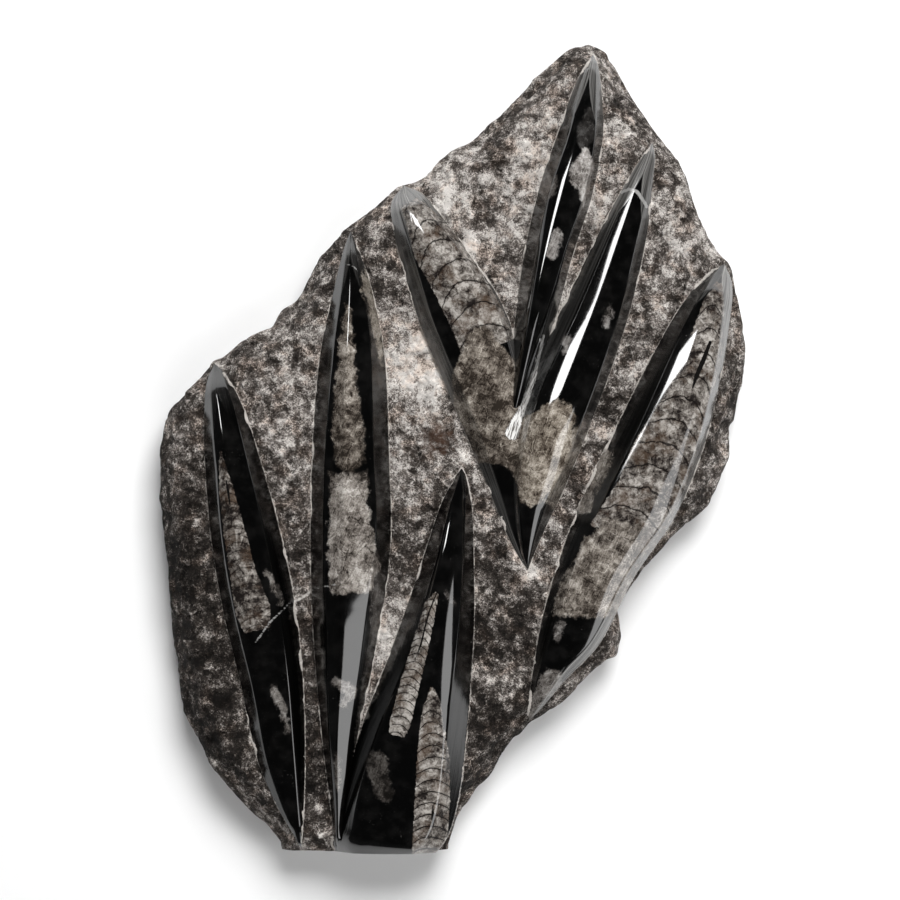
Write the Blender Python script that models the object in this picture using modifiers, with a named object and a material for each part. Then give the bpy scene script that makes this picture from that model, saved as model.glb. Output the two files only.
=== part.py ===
"""A block of black orthoceras limestone, lying on its back.

The block is one natural piece of stone with a rough, chiselled front, a sawn back and a
sawn foot. Seven polished spindles, each following a fossil shell, stand up from the front.
X runs across the stone, Y along it towards its narrow top end, and Z is up.
"""

import math

import bmesh
import bpy
from mathutils import Vector, noise

MM = 0.001

# The rough block, in millimetres.
FRONT_LEVEL = 37.0
SWELL = 1.8
SWELL_SIZE = 62.0
LUMP = 2.0
LUMP_SIZE = 14.0
CHIP = 1.6
CHIP_SIZE = 7.0
MARGIN_WIDTH = 13.0
MARGIN_DROP = 10.0
MARGIN_PATCH = 31.0
MARGIN_CHANGE = 0.7
SIDE_REACH = 1.4
SIDE_LEDGE = 4.4
SIDE_LEDGE_SIZE = 19.0
SIDE_LEDGE_FLATNESS = 1.7
SIDE_GRAIN = 1.1
UNDERCUT = 4.0
UNDERCUT_HEIGHT = 23.0
VOXEL = 5.6
KEPT_SHARE = 0.42
PRISM_HEIGHT = 40.0
SAW_WASTE = 4.0

# How far apart the unlike kinds of unevenness are read from the one noise.
LUMP_SHIFT = 40
CHIP_SHIFT = 80
PATCH_SHIFT = 120
GRAIN_SHIFT = 60

# The saw cuts, in millimetres.
FOOT_LINE = -203.0
SAW_REACH = 400.0
SAW_DEPTH = 100.0

# The section of a spindle. A crease parts each wall from the dome, at a share of the
# crest's height, and a wall takes up no more than a share of the half width.
CREASE_HEIGHT = 0.7
MOST_WALL = 0.42
WALL_TURN = 0.4
ROOT_DEPTH = 20.0
SLENDERNESS = 0.7
RINGS = 22
STRANDS = 20

ROUGH_COLOUR = (0.09, 0.08, 0.072, 1)
ROUGH_ROUGHNESS = 0.85
POLISHED_COLOUR = (0.02, 0.019, 0.018, 1)
POLISHED_ROUGHNESS = 0.12

# Corners of the block's outline in X and Y, in millimetres, clockwise from the top.
OUTLINE = [
    (68.5, 203), (77, 198.5), (78, 195), (81, 192), (94, 169.5), (111, 147), (116, 137),
    (124.5, 112.5), (133.5, 97), (137.5, 93.5), (139.5, 89.5), (147, 52), (145.5, 32),
    (143.5, 27.5), (141.5, 13.5), (139, 11.5), (138.5, -5), (128.5, -29), (109.5, -45.5),
    (99, -57), (88.5, -70.5), (82, -81.5), (84.5, -95.5), (82, -105.5), (77.5, -106.5),
    (72, -110.5), (54.5, -128), (38.5, -138.5), (33.5, -144), (30, -145.5), (25, -152.5),
    (18.5, -165), (11, -172.5), (1, -186.5), (-3, -199), (-4, -208), (-84, -208),
    (-86.5, -198), (-93, -190), (-101.5, -183), (-116.5, -166.5), (-124.5, -155.5),
    (-126.5, -149), (-135, -134), (-140, -101.5), (-142.5, -76.5), (-142.5, -61.5),
    (-147, -26.5), (-147, -1.5), (-143.5, 15), (-141.5, 19.5), (-129, 32), (-120.5, 43),
    (-115.5, 44.5), (-106.5, 53), (-90.5, 60), (-86, 68.5), (-79, 72.5), (-75.5, 77),
    (-66.5, 96), (-61.5, 100), (-54, 109.5), (-39, 120), (-27.5, 130.5), (-19, 132.5),
    (-14, 135), (-6.5, 143.5), (1, 149.5), (8.5, 152.5), (17.5, 161.5), (23.5, 165.5),
    (38.5, 181), (41, 185), (51, 193.5), (58.5, 199.5),
]

# Where along a spindle its edges are given, as shares of its length from the tip.
STATIONS = [0, 0.03, 0.1, 0.2, 0.35, 0.5, 0.65, 0.8, 0.9, 0.97, 1]

# Each spindle, in millimetres: its tip and its tail; its crest, as the greatest height over
# the rough front, the share of the length at which it is reached, how steeply it rises from
# the tip, and the height at the tail; its roof, as the roundness of the dome and how far
# the crest leans to the left; the widths of its walls; and how far its left and its right
# edge lie from the line between tip and tail at the stations.
SPINDLES = {
    "far_left": {
        "tip": (-120, 42),
        "tail": (-76, -202),
        "crest": (15.5, 0.3, 2.2, 0),
        "roof": (1.25, 0.15),
        "walls": (6, 8.5),
        "left": [0, 4.5, 9, 13, 16.5, 17, 15, 13.5, 8, 2, 0],
        "right": [0, 5.5, 11, 14.5, 18, 19, 16.5, 11, 6, 2, 0],
    },
    "left": {
        "tip": (-51.5, 108.5),
        "tail": (-57, -209.5),
        "crest": (18.5, 0.5, 3.4, 0),
        "roof": (1.08, 0.12),
        "walls": (7, 7.5),
        "left": [0, 3, 8, 14, 17, 17, 14.5, 9.5, 5, 2, 0],
        "right": [0, 4.5, 12, 18.5, 21.5, 23, 17, 8, 4, 1.5, 0],
    },
    "foot": {
        "tip": (4.5, -9.5),
        "tail": (-32.5, -214.5),
        "crest": (17.5, 0.3, 2.5, 9),
        "roof": (2.1, 0.2),
        "walls": (8, 10),
        "left": [0, 2.5, 7, 10, 14.5, 20, 26, 29.5, 29.5, 28, 0],
        "right": [0, 4, 9, 13.5, 19.5, 23.5, 26.5, 28, 24.5, 12.5, 0],
    },
    "middle": {
        "tip": (-25, 131.5),
        "tail": (37.5, -61.5),
        "crest": (13, 0.25, 3.1, 0),
        "roof": (1.3, 0),
        "walls": (7, 4),
        "left": [0, 8, 11.5, 13, 13.5, 11, 8.5, 6, 4.5, 2, 0],
        "right": [0, 7, 13, 20, 28.5, 29, 23.5, 17, 10.5, 4, 0],
    },
    "top": {
        "tip": (70.5, 197.5),
        "tail": (27, 0),
        "crest": (19.5, 0.58, 2, 0),
        "roof": (1.62, 0.116),
        "walls": (5, 4),
        "left": [0, 2.5, 6, 8.5, 12, 12.5, 10.5, 7, 4.5, 2, 0],
        "right": [0, 3.5, 8.5, 13.5, 14.5, 11.5, 10, 6.5, 4, 1.5, 0],
    },
    "upper_right": {
        "tip": (100, 152.5),
        "tail": (37.5, -61.5),
        "crest": (19, 0.62, 1.3, 0),
        "roof": (1.65, 0.02),
        "walls": (7, 5),
        "left": [0, 2.5, 7, 12, 18, 23.5, 27, 24.5, 15.5, 6, 0],
        "right": [0, 3, 6, 10, 12.5, 12, 9.5, 6, 2.5, 0.5, 0],
    },
    "right": {
        "tip": (136.5, 92),
        "tail": (37.5, -138),
        "crest": (17.5, 0.38, 3.6, 0),
        "roof": (1.8, -0.05),
        "walls": (10.5, 4.5),
        "left": [0, 6, 11.5, 15, 17.5, 19.5, 18.5, 14, 8, 3, 0],
        "right": [0, 7, 13, 19.5, 26, 27, 20, 17, 8, 3, 0],
    },
}


def new_collection(name, hidden):
    collection = bpy.data.collections.new(name)
    bpy.context.scene.collection.children.link(collection)
    collection.hide_render = hidden
    return collection


def stone_material(name, colour, roughness):
    material = bpy.data.materials.new(name)
    material.use_nodes = True
    shader = material.node_tree.nodes["Principled BSDF"]
    shader.inputs["Base Color"].default_value = colour
    shader.inputs["Roughness"].default_value = roughness
    return material


def eased(share):
    share = min(max(share, 0.0), 1.0)
    return share * share * (3 - 2 * share)


def smooth_value(places, values, place):
    """The value at one place of a smooth curve through the values at the given places."""
    last = len(places) - 1
    i = 0
    while i < last - 1 and place > places[i + 1]:
        i += 1

    def slope(k):
        before, after = max(k - 1, 0), min(k + 1, last)
        return (values[after] - values[before]) / (places[after] - places[before])

    span = places[i + 1] - places[i]
    s = (place - places[i]) / span
    start, end = values[i], values[i + 1]
    return (
        start * (1 + 2 * s) * (1 - s) ** 2
        + end * s * s * (3 - 2 * s)
        + slope(i) * span * s * (1 - s) ** 2
        - slope(i + 1) * span * s * s * (1 - s)
    )


def distance_to_outline(x, y):
    """How far a point inside the outline lies from it."""
    nearest = math.inf
    for (ax, ay), (bx, by) in zip(OUTLINE, OUTLINE[1:] + OUTLINE[:1]):
        dx, dy = bx - ax, by - ay
        share = ((x - ax) * dx + (y - ay) * dy) / (dx * dx + dy * dy)
        share = min(max(share, 0.0), 1.0)
        nearest = min(nearest, math.hypot(ax + share * dx - x, ay + share * dy - y))
    return nearest


def front_level(x, y):
    """The height of the front without its lumps: it swells a little and falls at the margin."""
    swell = noise.noise(Vector((x, y, 0)) / SWELL_SIZE)
    patch = noise.noise(Vector((x, y, PATCH_SHIFT)) / MARGIN_PATCH)
    margin = 1 - eased(distance_to_outline(x, y) / MARGIN_WIDTH)
    return FRONT_LEVEL + SWELL * swell - MARGIN_DROP * margin * (1 + MARGIN_CHANGE * patch)


def front_height(x, y):
    """The height of the rough front at a point of the outline or inside it."""
    lump = noise.noise(Vector((x, y, LUMP_SHIFT)) / LUMP_SIZE)
    chip = noise.noise(Vector((x, y, CHIP_SHIFT)) / CHIP_SIZE)
    return front_level(x, y) + LUMP * lump + CHIP * chip


def side_inset(x, y, z):
    """How far the broken side stands back from the outline at one point of it."""
    ledge = abs(noise.noise(Vector((x, y, SIDE_LEDGE_FLATNESS * z)) / SIDE_LEDGE_SIZE))
    grain = abs(noise.noise(Vector((x, y, z + GRAIN_SHIFT)) / CHIP_SIZE))
    under = eased(1 - z / UNDERCUT_HEIGHT) ** 2
    return SIDE_LEDGE * ledge + SIDE_GRAIN * grain + UNDERCUT * under - SIDE_REACH


def block_prism(collection):
    """The outline filled and extruded, as one closed mesh."""
    outline = bpy.data.curves.new("outline", "CURVE")
    outline.dimensions = "2D"
    outline.fill_mode = "BOTH"
    outline.extrude = PRISM_HEIGHT * MM / 2
    line = outline.splines.new("POLY")
    line.points.add(len(OUTLINE) - 1)
    for point, (x, y) in zip(line.points, OUTLINE):
        point.co = (x * MM, y * MM, 0, 1)
    line.use_cyclic_u = True
    flat = bpy.data.objects.new("outline", outline)
    collection.objects.link(flat)
    graph = bpy.context.evaluated_depsgraph_get()
    mesh = bpy.data.meshes.new_from_object(flat.evaluated_get(graph))
    bpy.data.objects.remove(flat, do_unlink=True)
    welded = bmesh.new()
    welded.from_mesh(mesh)
    bmesh.ops.remove_doubles(welded, verts=welded.verts, dist=0.01 * MM)
    bmesh.ops.recalc_face_normals(welded, faces=welded.faces)
    welded.to_mesh(mesh)
    welded.free()
    return mesh


def rough_block(collection, material):
    """The prism with even faces, broken up by the unevenness of the stone."""
    block = bpy.data.objects.new("fossil_stone", block_prism(collection))
    collection.objects.link(block)
    remesh = block.modifiers.new("even_faces", "REMESH")
    remesh.mode = "VOXEL"
    remesh.voxel_size = VOXEL * MM
    graph = bpy.context.evaluated_depsgraph_get()
    mesh = bpy.data.meshes.new_from_object(block.evaluated_get(graph))
    block.modifiers.clear()
    block.data = mesh
    mesh.materials.clear()
    mesh.materials.append(material)
    bottom = min(vertex.co.z for vertex in mesh.vertices)
    top = max(vertex.co.z for vertex in mesh.vertices)
    # The normals are read first, because they change while the vertices move.
    normals = [vertex.normal.copy() for vertex in mesh.vertices]
    for vertex, normal in zip(mesh.vertices, normals):
        x, y = vertex.co.x / MM, vertex.co.y / MM
        level = (vertex.co.z - bottom) / (top - bottom)
        z = level * (front_height(x, y) + SAW_WASTE) - SAW_WASTE
        outward = Vector((normal.x, normal.y, 0))
        vertex.co = Vector((x, y, z)) * MM - outward * side_inset(x, y, z) * MM
    return block


def crest_height(shape, share):
    """The height of a spindle's crest over the rough front at a share of its length."""
    height, peak, steepness, tail = shape["crest"]
    if share < peak:
        return height * (1 - (1 - share / peak) ** steepness)
    return tail + (height - tail) * (1 - ((share - peak) / (1 - peak)) ** 2)


def crease_places(shape, half):
    """How far left and how far right of the middle the creases lie, in half widths."""
    left, right = (min(width / max(half, 0.01), MOST_WALL) for width in shape["walls"])
    return 1 - left, 1 - right


def section_point(shape, crest, half, turn):
    """Half widths to the left and height, at one turn over a spindle from its left edge."""
    left, right = crease_places(shape, half)
    roundness, lean = shape["roof"]
    top = (left - right) / 2 + lean
    climb = min(turn, 0.5 - turn) * 4
    side, crease = (1, left) if turn <= 0.25 else (-1, -right)
    if climb < WALL_TURN:
        share = climb / WALL_TURN
        return side + (crease - side) * share, CREASE_HEIGHT * crest * share
    reach = 1 - (climb - WALL_TURN) / (1 - WALL_TURN)
    fall = (1 - CREASE_HEIGHT) * reach**roundness
    return top + (crease - top) * reach, crest * (1 - fall)


def moved_to(collection, obj):
    for holder in list(obj.users_collection):
        holder.objects.unlink(obj)
    collection.objects.link(obj)
    obj.display_type = "WIRE"
    return obj


def spindle(name, shape, collection, material):
    """A sphere drawn out between tip and tail and shaped to the two edges."""
    tip, tail = Vector(shape["tip"]), Vector(shape["tail"])
    length = (tail - tip).length
    along = (tail - tip) / length
    leftward = Vector((along.y, -along.x))
    widest = max(a + b for a, b in zip(shape["left"], shape["right"])) / 2
    bpy.ops.mesh.primitive_uv_sphere_add(segments=STRANDS, ring_count=RINGS, radius=1)
    ridge = moved_to(collection, bpy.context.object)
    ridge.name = "ridge_" + name
    ridge.data.materials.append(material)
    for vertex in ridge.data.vertices:
        share = math.acos(max(-1, min(1, vertex.co.z))) / math.pi
        turn = math.atan2(vertex.co.y, vertex.co.x) / math.tau % 1
        left = smooth_value(STATIONS, shape["left"], share)
        right = smooth_value(STATIONS, shape["right"], share)
        half = max((left + right) / 2, 0)
        centre = tip + along * length * share + leftward * (left - right) / 2
        if turn < 0.5:
            across, height = section_point(shape, crest_height(shape, share), half, turn)
        else:
            across = math.cos(turn * math.tau)
            height = math.sin(turn * math.tau) * ROOT_DEPTH * (half / widest) ** SLENDERNESS
        place = centre + leftward * across * half
        z = front_level(centre.x, centre.y) + height
        vertex.co = Vector((place.x, place.y, z)) * MM
    ridge.data.shade_smooth()
    return ridge


def saw_block(name, low, high, collection):
    """A box between two corners, for a straight saw cut."""
    middle = [(a + b) / 2 * MM for a, b in zip(low, high)]
    bpy.ops.mesh.primitive_cube_add(size=1, location=middle)
    saw = moved_to(collection, bpy.context.object)
    saw.name = name
    saw.scale = [(b - a) * MM for a, b in zip(low, high)]
    return saw


def boolean(obj, operation, other):
    cut = obj.modifiers.new(other.name, "BOOLEAN")
    cut.operation = operation
    cut.solver = "EXACT"
    cut.object = other


def build():
    for obj in list(bpy.data.objects):
        bpy.data.objects.remove(obj, do_unlink=True)
    fossil = new_collection("orthoceras_fossil", False)
    ridges = new_collection("ridges", True)
    saws = new_collection("saws", True)
    rough = stone_material("rough_stone", ROUGH_COLOUR, ROUGH_ROUGHNESS)
    polished = stone_material("polished_stone", POLISHED_COLOUR, POLISHED_ROUGHNESS)

    stone = rough_block(fossil, rough)
    stone.modifiers.new("fewer_faces", "DECIMATE").ratio = KEPT_SHARE
    for name, shape in SPINDLES.items():
        boolean(stone, "UNION", spindle(name, shape, ridges, polished))
    corner = (-SAW_REACH, -SAW_REACH, -SAW_DEPTH)
    foot_saw = saw_block("saw_foot", corner, (SAW_REACH, FOOT_LINE, SAW_DEPTH), saws)
    back_saw = saw_block("saw_back", corner, (SAW_REACH, SAW_REACH, 0), saws)
    boolean(stone, "DIFFERENCE", foot_saw)
    boolean(stone, "DIFFERENCE", back_saw)


build()
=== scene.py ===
import math

import bmesh
import bpy
import numpy as np
from mathutils import Matrix, Vector, noise
from mathutils.geometry import delaunay_2d_cdt


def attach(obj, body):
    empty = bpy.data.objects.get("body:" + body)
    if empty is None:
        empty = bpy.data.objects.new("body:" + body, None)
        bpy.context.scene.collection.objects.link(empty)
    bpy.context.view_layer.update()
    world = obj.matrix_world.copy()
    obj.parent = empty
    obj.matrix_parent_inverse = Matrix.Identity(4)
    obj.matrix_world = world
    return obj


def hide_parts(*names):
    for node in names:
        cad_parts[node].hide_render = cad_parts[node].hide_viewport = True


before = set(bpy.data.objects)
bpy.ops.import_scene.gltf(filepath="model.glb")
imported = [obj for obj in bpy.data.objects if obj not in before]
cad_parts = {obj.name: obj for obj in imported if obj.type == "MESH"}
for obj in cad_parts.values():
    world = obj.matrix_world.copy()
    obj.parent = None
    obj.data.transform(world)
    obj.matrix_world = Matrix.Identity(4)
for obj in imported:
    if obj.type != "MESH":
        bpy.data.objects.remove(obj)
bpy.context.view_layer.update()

MM = 0.001

# ---- the stone's dimensions
# Millimetres. The solid has the same outline, ridges and levels.
FRONT_LEVEL = 37.0
SWELL = 1.8
SWELL_SIZE = 62.0
LUMP = 2.0
LUMP_SIZE = 14.0
CHIP = 1.6
CHIP_SIZE = 7.0
MARGIN_WIDTH = 13.0
MARGIN_DROP = 10.0
MARGIN_PATCH = 31.0
MARGIN_CHANGE = 0.7
SIDE_REACH = 0.6
SIDE_LEDGE = 4.4
SIDE_LEDGE_SIZE = 19.0
SIDE_LEDGE_FLATNESS = 1.7
SIDE_GRAIN = 1.1
UNDERCUT = 4.0
UNDERCUT_HEIGHT = 23.0
FOOT_LINE = -203.0

# How far apart the unlike kinds of unevenness are read from the one noise.
LUMP_SHIFT = 40
CHIP_SHIFT = 80
PATCH_SHIFT = 120
GRAIN_SHIFT = 60

# The section of a ridge. The crease between wall and dome is a share of the crest's height.
CREASE_HEIGHT = 0.7
CREASE_SOFTNESS = 0.4
MOST_WALL = 0.42
ROOT_DEPTH = 20.0
SLENDERNESS = 0.7

OUTLINE = [
    (68.5, 203), (77, 198.5), (78, 195), (81, 192), (94, 169.5), (111, 147), (116, 137),
    (124.5, 112.5), (133.5, 97), (137.5, 93.5), (139.5, 89.5), (147, 52), (145.5, 32),
    (143.5, 27.5), (141.5, 13.5), (139, 11.5), (138.5, -5), (128.5, -29), (109.5, -45.5),
    (99, -57), (88.5, -70.5), (82, -81.5), (84.5, -95.5), (82, -105.5), (77.5, -106.5),
    (72, -110.5), (54.5, -128), (38.5, -138.5), (33.5, -144), (30, -145.5), (25, -152.5),
    (18.5, -165), (11, -172.5), (1, -186.5), (-3, -199), (-4, -208), (-84, -208),
    (-86.5, -198), (-93, -190), (-101.5, -183), (-116.5, -166.5), (-124.5, -155.5),
    (-126.5, -149), (-135, -134), (-140, -101.5), (-142.5, -76.5), (-142.5, -61.5),
    (-147, -26.5), (-147, -1.5), (-143.5, 15), (-141.5, 19.5), (-129, 32), (-120.5, 43),
    (-115.5, 44.5), (-106.5, 53), (-90.5, 60), (-86, 68.5), (-79, 72.5), (-75.5, 77),
    (-66.5, 96), (-61.5, 100), (-54, 109.5), (-39, 120), (-27.5, 130.5), (-19, 132.5),
    (-14, 135), (-6.5, 143.5), (1, 149.5), (8.5, 152.5), (17.5, 161.5), (23.5, 165.5),
    (38.5, 181), (41, 185), (51, 193.5), (58.5, 199.5),
]

# The seven ridges, in millimetres. Left and right are the half widths at the stations, shares
# of the way from tip to tail, as seen from the tip. A crest has its height, the share of the
# length where it peaks, how steeply it rises there and its height at the tail. A roof has how
# round it is, how far its top leans to the left and how soft the line of the top is. The walls
# are the widths of the ground strips on the left and on the right. The black roof starts as a
# point at some distance from the tip and opens to its full width over another. Down from the
# tip the walls carry a painted sheen, paler for some distance and by some share of white.
# Elsewhere their tones are the shares of white on the left and on the right: the ground stone's
# own dark grey, with painted sheen that makes some ridges and sides lighter than others.
STATIONS = [0, 0.03, 0.1, 0.2, 0.35, 0.5, 0.65, 0.8, 0.9, 0.97, 1]

SPINDLES = {
    "far_left": {
        "tip": (-120, 42),
        "tail": (-76, -202),
        "crest": (15.5, 0.3, 2.2, 0),
        "roof": (1.25, 0.15, 0.03),
        "walls": (6, 8.5),
        "roof_start": (14, 26),
        "painted_tip_sheen": (22, 0.014),
        "wall_tones_and_sheen": (0.0012, 0.0006),
        "left": [0, 4.5, 9, 13, 16.5, 17, 15, 13.5, 8, 2, 0],
        "right": [0, 5.5, 11, 14.5, 18, 19, 16.5, 11, 6, 2, 0],
    },
    "left": {
        "tip": (-51.5, 108.5),
        "tail": (-57, -209.5),
        "crest": (18.5, 0.5, 3.4, 0),
        "roof": (1.08, 0.12, 0.026),
        "walls": (7, 7.5),
        "roof_start": (13, 22),
        "painted_tip_sheen": (30, 0.020),
        "wall_tones_and_sheen": (0.0008, 0.0006),
        "left": [0, 3, 8, 14, 17, 17, 14.5, 9.5, 5, 2, 0],
        "right": [0, 4.5, 12, 18.5, 21.5, 23, 17, 8, 4, 1.5, 0],
    },
    "foot": {
        "tip": (4.5, -9.5),
        "tail": (-32.5, -214.5),
        "crest": (17.5, 0.3, 2.5, 9),
        "roof": (2.1, 0.2, 0.035),
        "walls": (8, 10),
        "roof_start": (3, 14),
        "painted_tip_sheen": (10, 0.009),
        "wall_tones_and_sheen": (0.0006, 0.0004),
        "left": [0, 2.5, 7, 10, 14.5, 20, 26, 29.5, 29.5, 28, 0],
        "right": [0, 4, 9, 13.5, 19.5, 23.5, 26.5, 28, 24.5, 12.5, 0],
    },
    "middle": {
        "tip": (-25, 131.5),
        "tail": (37.5, -61.5),
        "crest": (13, 0.25, 3.1, 0),
        "roof": (1.3, 0, 0.035),
        "walls": (7, 4),
        "roof_start": (10, 24),
        "painted_tip_sheen": (20, 0.052),
        "wall_tones_and_sheen": (0.04, 0.055),
        "left": [0, 8, 11.5, 13, 13.5, 11, 8.5, 6, 4.5, 2, 0],
        "right": [0, 7, 13, 20, 28.5, 29, 23.5, 17, 10.5, 4, 0],
    },
    "top": {
        "tip": (70.5, 197.5),
        "tail": (27, 0),
        "crest": (19.5, 0.58, 2, 0),
        "roof": (1.62, 0.116, 0.078),
        "walls": (5, 4),
        "roof_start": (13, 24),
        "painted_tip_sheen": (36, 0.07),
        "wall_tones_and_sheen": (0.004, 0.014),
        "left": [0, 2.5, 6, 8.5, 12, 12.5, 10.5, 7, 4.5, 2, 0],
        "right": [0, 3.5, 8.5, 13.5, 14.5, 11.5, 10, 6.5, 4, 1.5, 0],
    },
    "upper_right": {
        "tip": (100, 152.5),
        "tail": (37.5, -61.5),
        "crest": (19, 0.62, 1.3, 0),
        "roof": (1.65, 0.02, 0.044),
        "walls": (7, 5),
        "roof_start": (17, 22),
        "painted_tip_sheen": (44, 0.08),
        "wall_tones_and_sheen": (0.022, 0.017),
        "left": [0, 2.5, 7, 12, 18, 23.5, 27, 24.5, 15.5, 6, 0],
        "right": [0, 3, 6, 10, 12.5, 12, 9.5, 6, 2.5, 0.5, 0],
    },
    "right": {
        "tip": (136.5, 92),
        "tail": (37.5, -138),
        "crest": (17.5, 0.38, 3.6, 0),
        "roof": (1.8, -0.05, 0.035),
        "walls": (10.5, 4.5),
        "roof_start": (6, 20),
        "painted_tip_sheen": (30, 0.022),
        "wall_tones_and_sheen": (0.0028, 0.11),
        "left": [0, 6, 11.5, 15, 17.5, 19.5, 18.5, 14, 8, 3, 0],
        "right": [0, 7, 13, 19.5, 26, 27, 20, 17, 8, 3, 0],
    },
}

# ---- what the stone holds
# Each shell: stations along its middle as X, Y and half width in millimetres, from its
# narrow end to its wide end, the spacing of its chamber walls, how strongly they show, and
# how much lighter (above 0) or darker its calcite is.
SHELLS = {
    "far_left": [
        ([(-115.5, -2, 0.4), (-112.6, -21, 3.8), (-108.7, -41, 5.4), (-104.7, -61, 6.6),
          (-99.5, -81, 9), (-97, -91, 7)], 4.2, 0.6, -0.09),
    ],
    "foot": [
        ([(-7.8, -72, 0.8), (-11, -78, 3), (-15.5, -96, 4), (-21, -116, 4.9), (-26, -136, 5.2),
          (-28, -143, 4)], 4.0, 1.0, 0.02),
        ([(-10.5, -119, 0.6), (-10, -127, 4.2), (-10.5, -137, 5.8), (-9.7, -156, 8.3),
          (-10.2, -176, 8.8), (-12, -205, 8.6)], 5.8, 1.0, 0),
    ],
    "middle": [
        ([(-22, 122, 5), (-17.8, 116, 7), (-11.5, 106, 10.5), (-7.7, 98.5, 12.3),
          (-1.5, 88.5, 12.4), (4.2, 78.5, 13.1), (9.7, 68.5, 13.5), (14.3, 58.5, 13.8),
          (18, 49, 14)], 12.0, 0.9, -0.02),
    ],
    "right": [
        ([(133, 82.5, 1.5), (130, 72, 5.5), (126, 51.5, 9), (120, 32.5, 10.5),
          (111.5, 12.5, 13), (104, -5, 16), (96.5, -24, 16), (84, -47.5, 18.5)],
         12.2, 0.9, -0.04),
    ],
}

# Patches of pale spar on the ridges: stations along the patch as X, Y and half width, its
# warmth from 0, grey, to 1, cream and brown, or -1 for a snow-white painted highlight, its
# strength, and how much lighter (above 0) or darker it is. A patch whose last half width is at
# least this ends square.
SQUARE_WIDTH = 10
# A painted highlight: a white fan of rays where a ridge's wall would mirror the key light, painted
# as snow-white spar on the three ridges around it.
PAINTED_FAN_HIGHLIGHT = ([(45, 55, 0.6), (40.2, 33.5, 0.9), (35.6, 21.5, 1.3), (31.5, 12.5, 2.6),
        (29.5, 7, 3.4)], -1, 0.9, 0)
SPAR = {
    "far_left": [
        ([(-92.5, -62.5, 1.5), (-88.5, -69.5, 2.5), (-85.5, -77.5, 1.5)], 0.2, 0.5, 0),
        ([(-89.5, -120.5, 2), (-85, -129.5, 2.5), (-82, -140.5, 1.5)], 0.1, 0.5, 0),
    ],
    "left": [
        ([(-52.2, 70, 1), (-52.6, 50, 4), (-53, 23.5, 6.5), (-52, 5, 8), (-51.5, -5, 7.5)],
         0.5, 0.85, -0.09),
        ([(-51.5, -12.5, 9.8), (-51.5, -30, 10), (-50.5, -46.5, 11.5), (-49, -58, 13),
          (-48.5, -73, 13)], 0.25, 0.95, 0),
        ([(-43.7, 87.3, 1.6), (-42.2, 79.6, 3.8), (-39.5, 68, 3.3), (-37.6, 56.5, 2.7),
          (-36, 41, 1.8)], 0.8, 0.7, 0.04),
        ([(-38, -66, 5), (-37.5, -76.5, 4), (-39.5, -96.5, 2)], 0.1, 0.5, -0.05),
        ([(-57.5, -116.5, 2.5), (-50.5, -121.5, 3.5), (-54, -128.5, 1.5)], 0.1, 0.6, 0),
        ([(-58, -154, 2), (-57, -169, 1.5)], 0.1, 0.5, 0),
    ],
    "foot": [
        ([(-3.5, -72.5, 1.5), (-0.5, -76.5, 2)], 0, 0.4, 0),
        ([(-39, -156.5, 6), (-34, -171.5, 5)], 0.2, 0.25, -0.05),
    ],
    "middle": [
        ([(14, 52, 8), (16, 38.5, 17), (22, 18.5, 24), (30, 4, 22), (34, -3, 12), (36, -8, 9)],
         0.55, 0.95, -0.08),
        ([(40, 0, 6), (38, -5, 8), (40, -20, 5)], 0.8, 0.95, 0.03),
        PAINTED_FAN_HIGHLIGHT,
    ],
    "top": [
        ([(68.5, 165, 3), (66.5, 158, 5), (64.5, 151, 3)], 0, 0.1, 0.05),
        ([(65.4, 147.4, 1.6), (65.1, 140.4, 5.8), (63.7, 133.3, 6.2), (65.1, 127.7, 3.6),
          (64.9, 120, 1.4)], 0.05, 0.85, 0.05),
        ([(44, 136, 3), (47, 131.5, 5), (47, 128, 4.5)], 0.05, 0.5, 0.02),
        ([(51.5, 105.5, 2.5), (49.5, 95.5, 3)], 0, 0.7, 0.05),
        ([(57, 10, 6), (45, 0, 14), (30, 10, 14)], 0.7, 0.9, 0.02),
        PAINTED_FAN_HIGHLIGHT,
    ],
    "upper_right": [
        ([(51, 13, 10), (47, 6, 20), (45, -3, 22), (42, -13, 15), (38, -24, 6)],
         0.75, 0.95, 0.0),
        ([(62, 6, 5), (60, -3, 10), (55, -16, 8), (50, -27, 4)], 0.6, 0.7, 0.02),
        ([(77, 67.5, 2.5), (76, 60.5, 2)], 0, 0.6, 0),
        ([(57, 53.5, 2), (56, 47.5, 2)], 0, 0.5, 0),
        PAINTED_FAN_HIGHLIGHT,
    ],
    "right": [
        ([(76, -4, 4), (71, -16, 5), (65, -29, 4.5)], 0.35, 0.9, 0.0),
        ([(86, -37, 11), (83.5, -47, 14), (80, -55, 14)], 0.4, 0.85, -0.06),
        ([(82, -50.5, 18), (78.5, -59, 17.5), (70, -74, 17.5), (67.5, -80, 17.5),
          (67.3, -85, 17.5)], 0.45, 0.9, 0),
        ([(53, -89, 2.6), (51.5, -94, 2.2)], 0, 0.6, 0),
        ([(49.5, -116.5, 6), (44.5, -126.5, 6), (40.5, -135.5, 4)], 0.1, 0.6, 0),
    ],
}

# The siphuncles, the dark tubes that run through the chambers: X, Y and half width.
SIPHUNCLES = [
    [(-112.5, -16.5, 0.3), (-111.5, -22, 0.7), (-110.5, -29, 0.3)],
    [(-8, -72, 0.3), (-12, -82, 0.45), (-16, -98, 0.45), (-19, -106, 0.2)],
    [(-10, -178, 0.3), (-10, -184, 0.9), (-10, -190.5, 0.2)],
    [(127.5, 52, 0.8), (124, 43, 1.2), (120.5, 35, 1.1), (118.5, 29, 0.3)],
]

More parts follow.
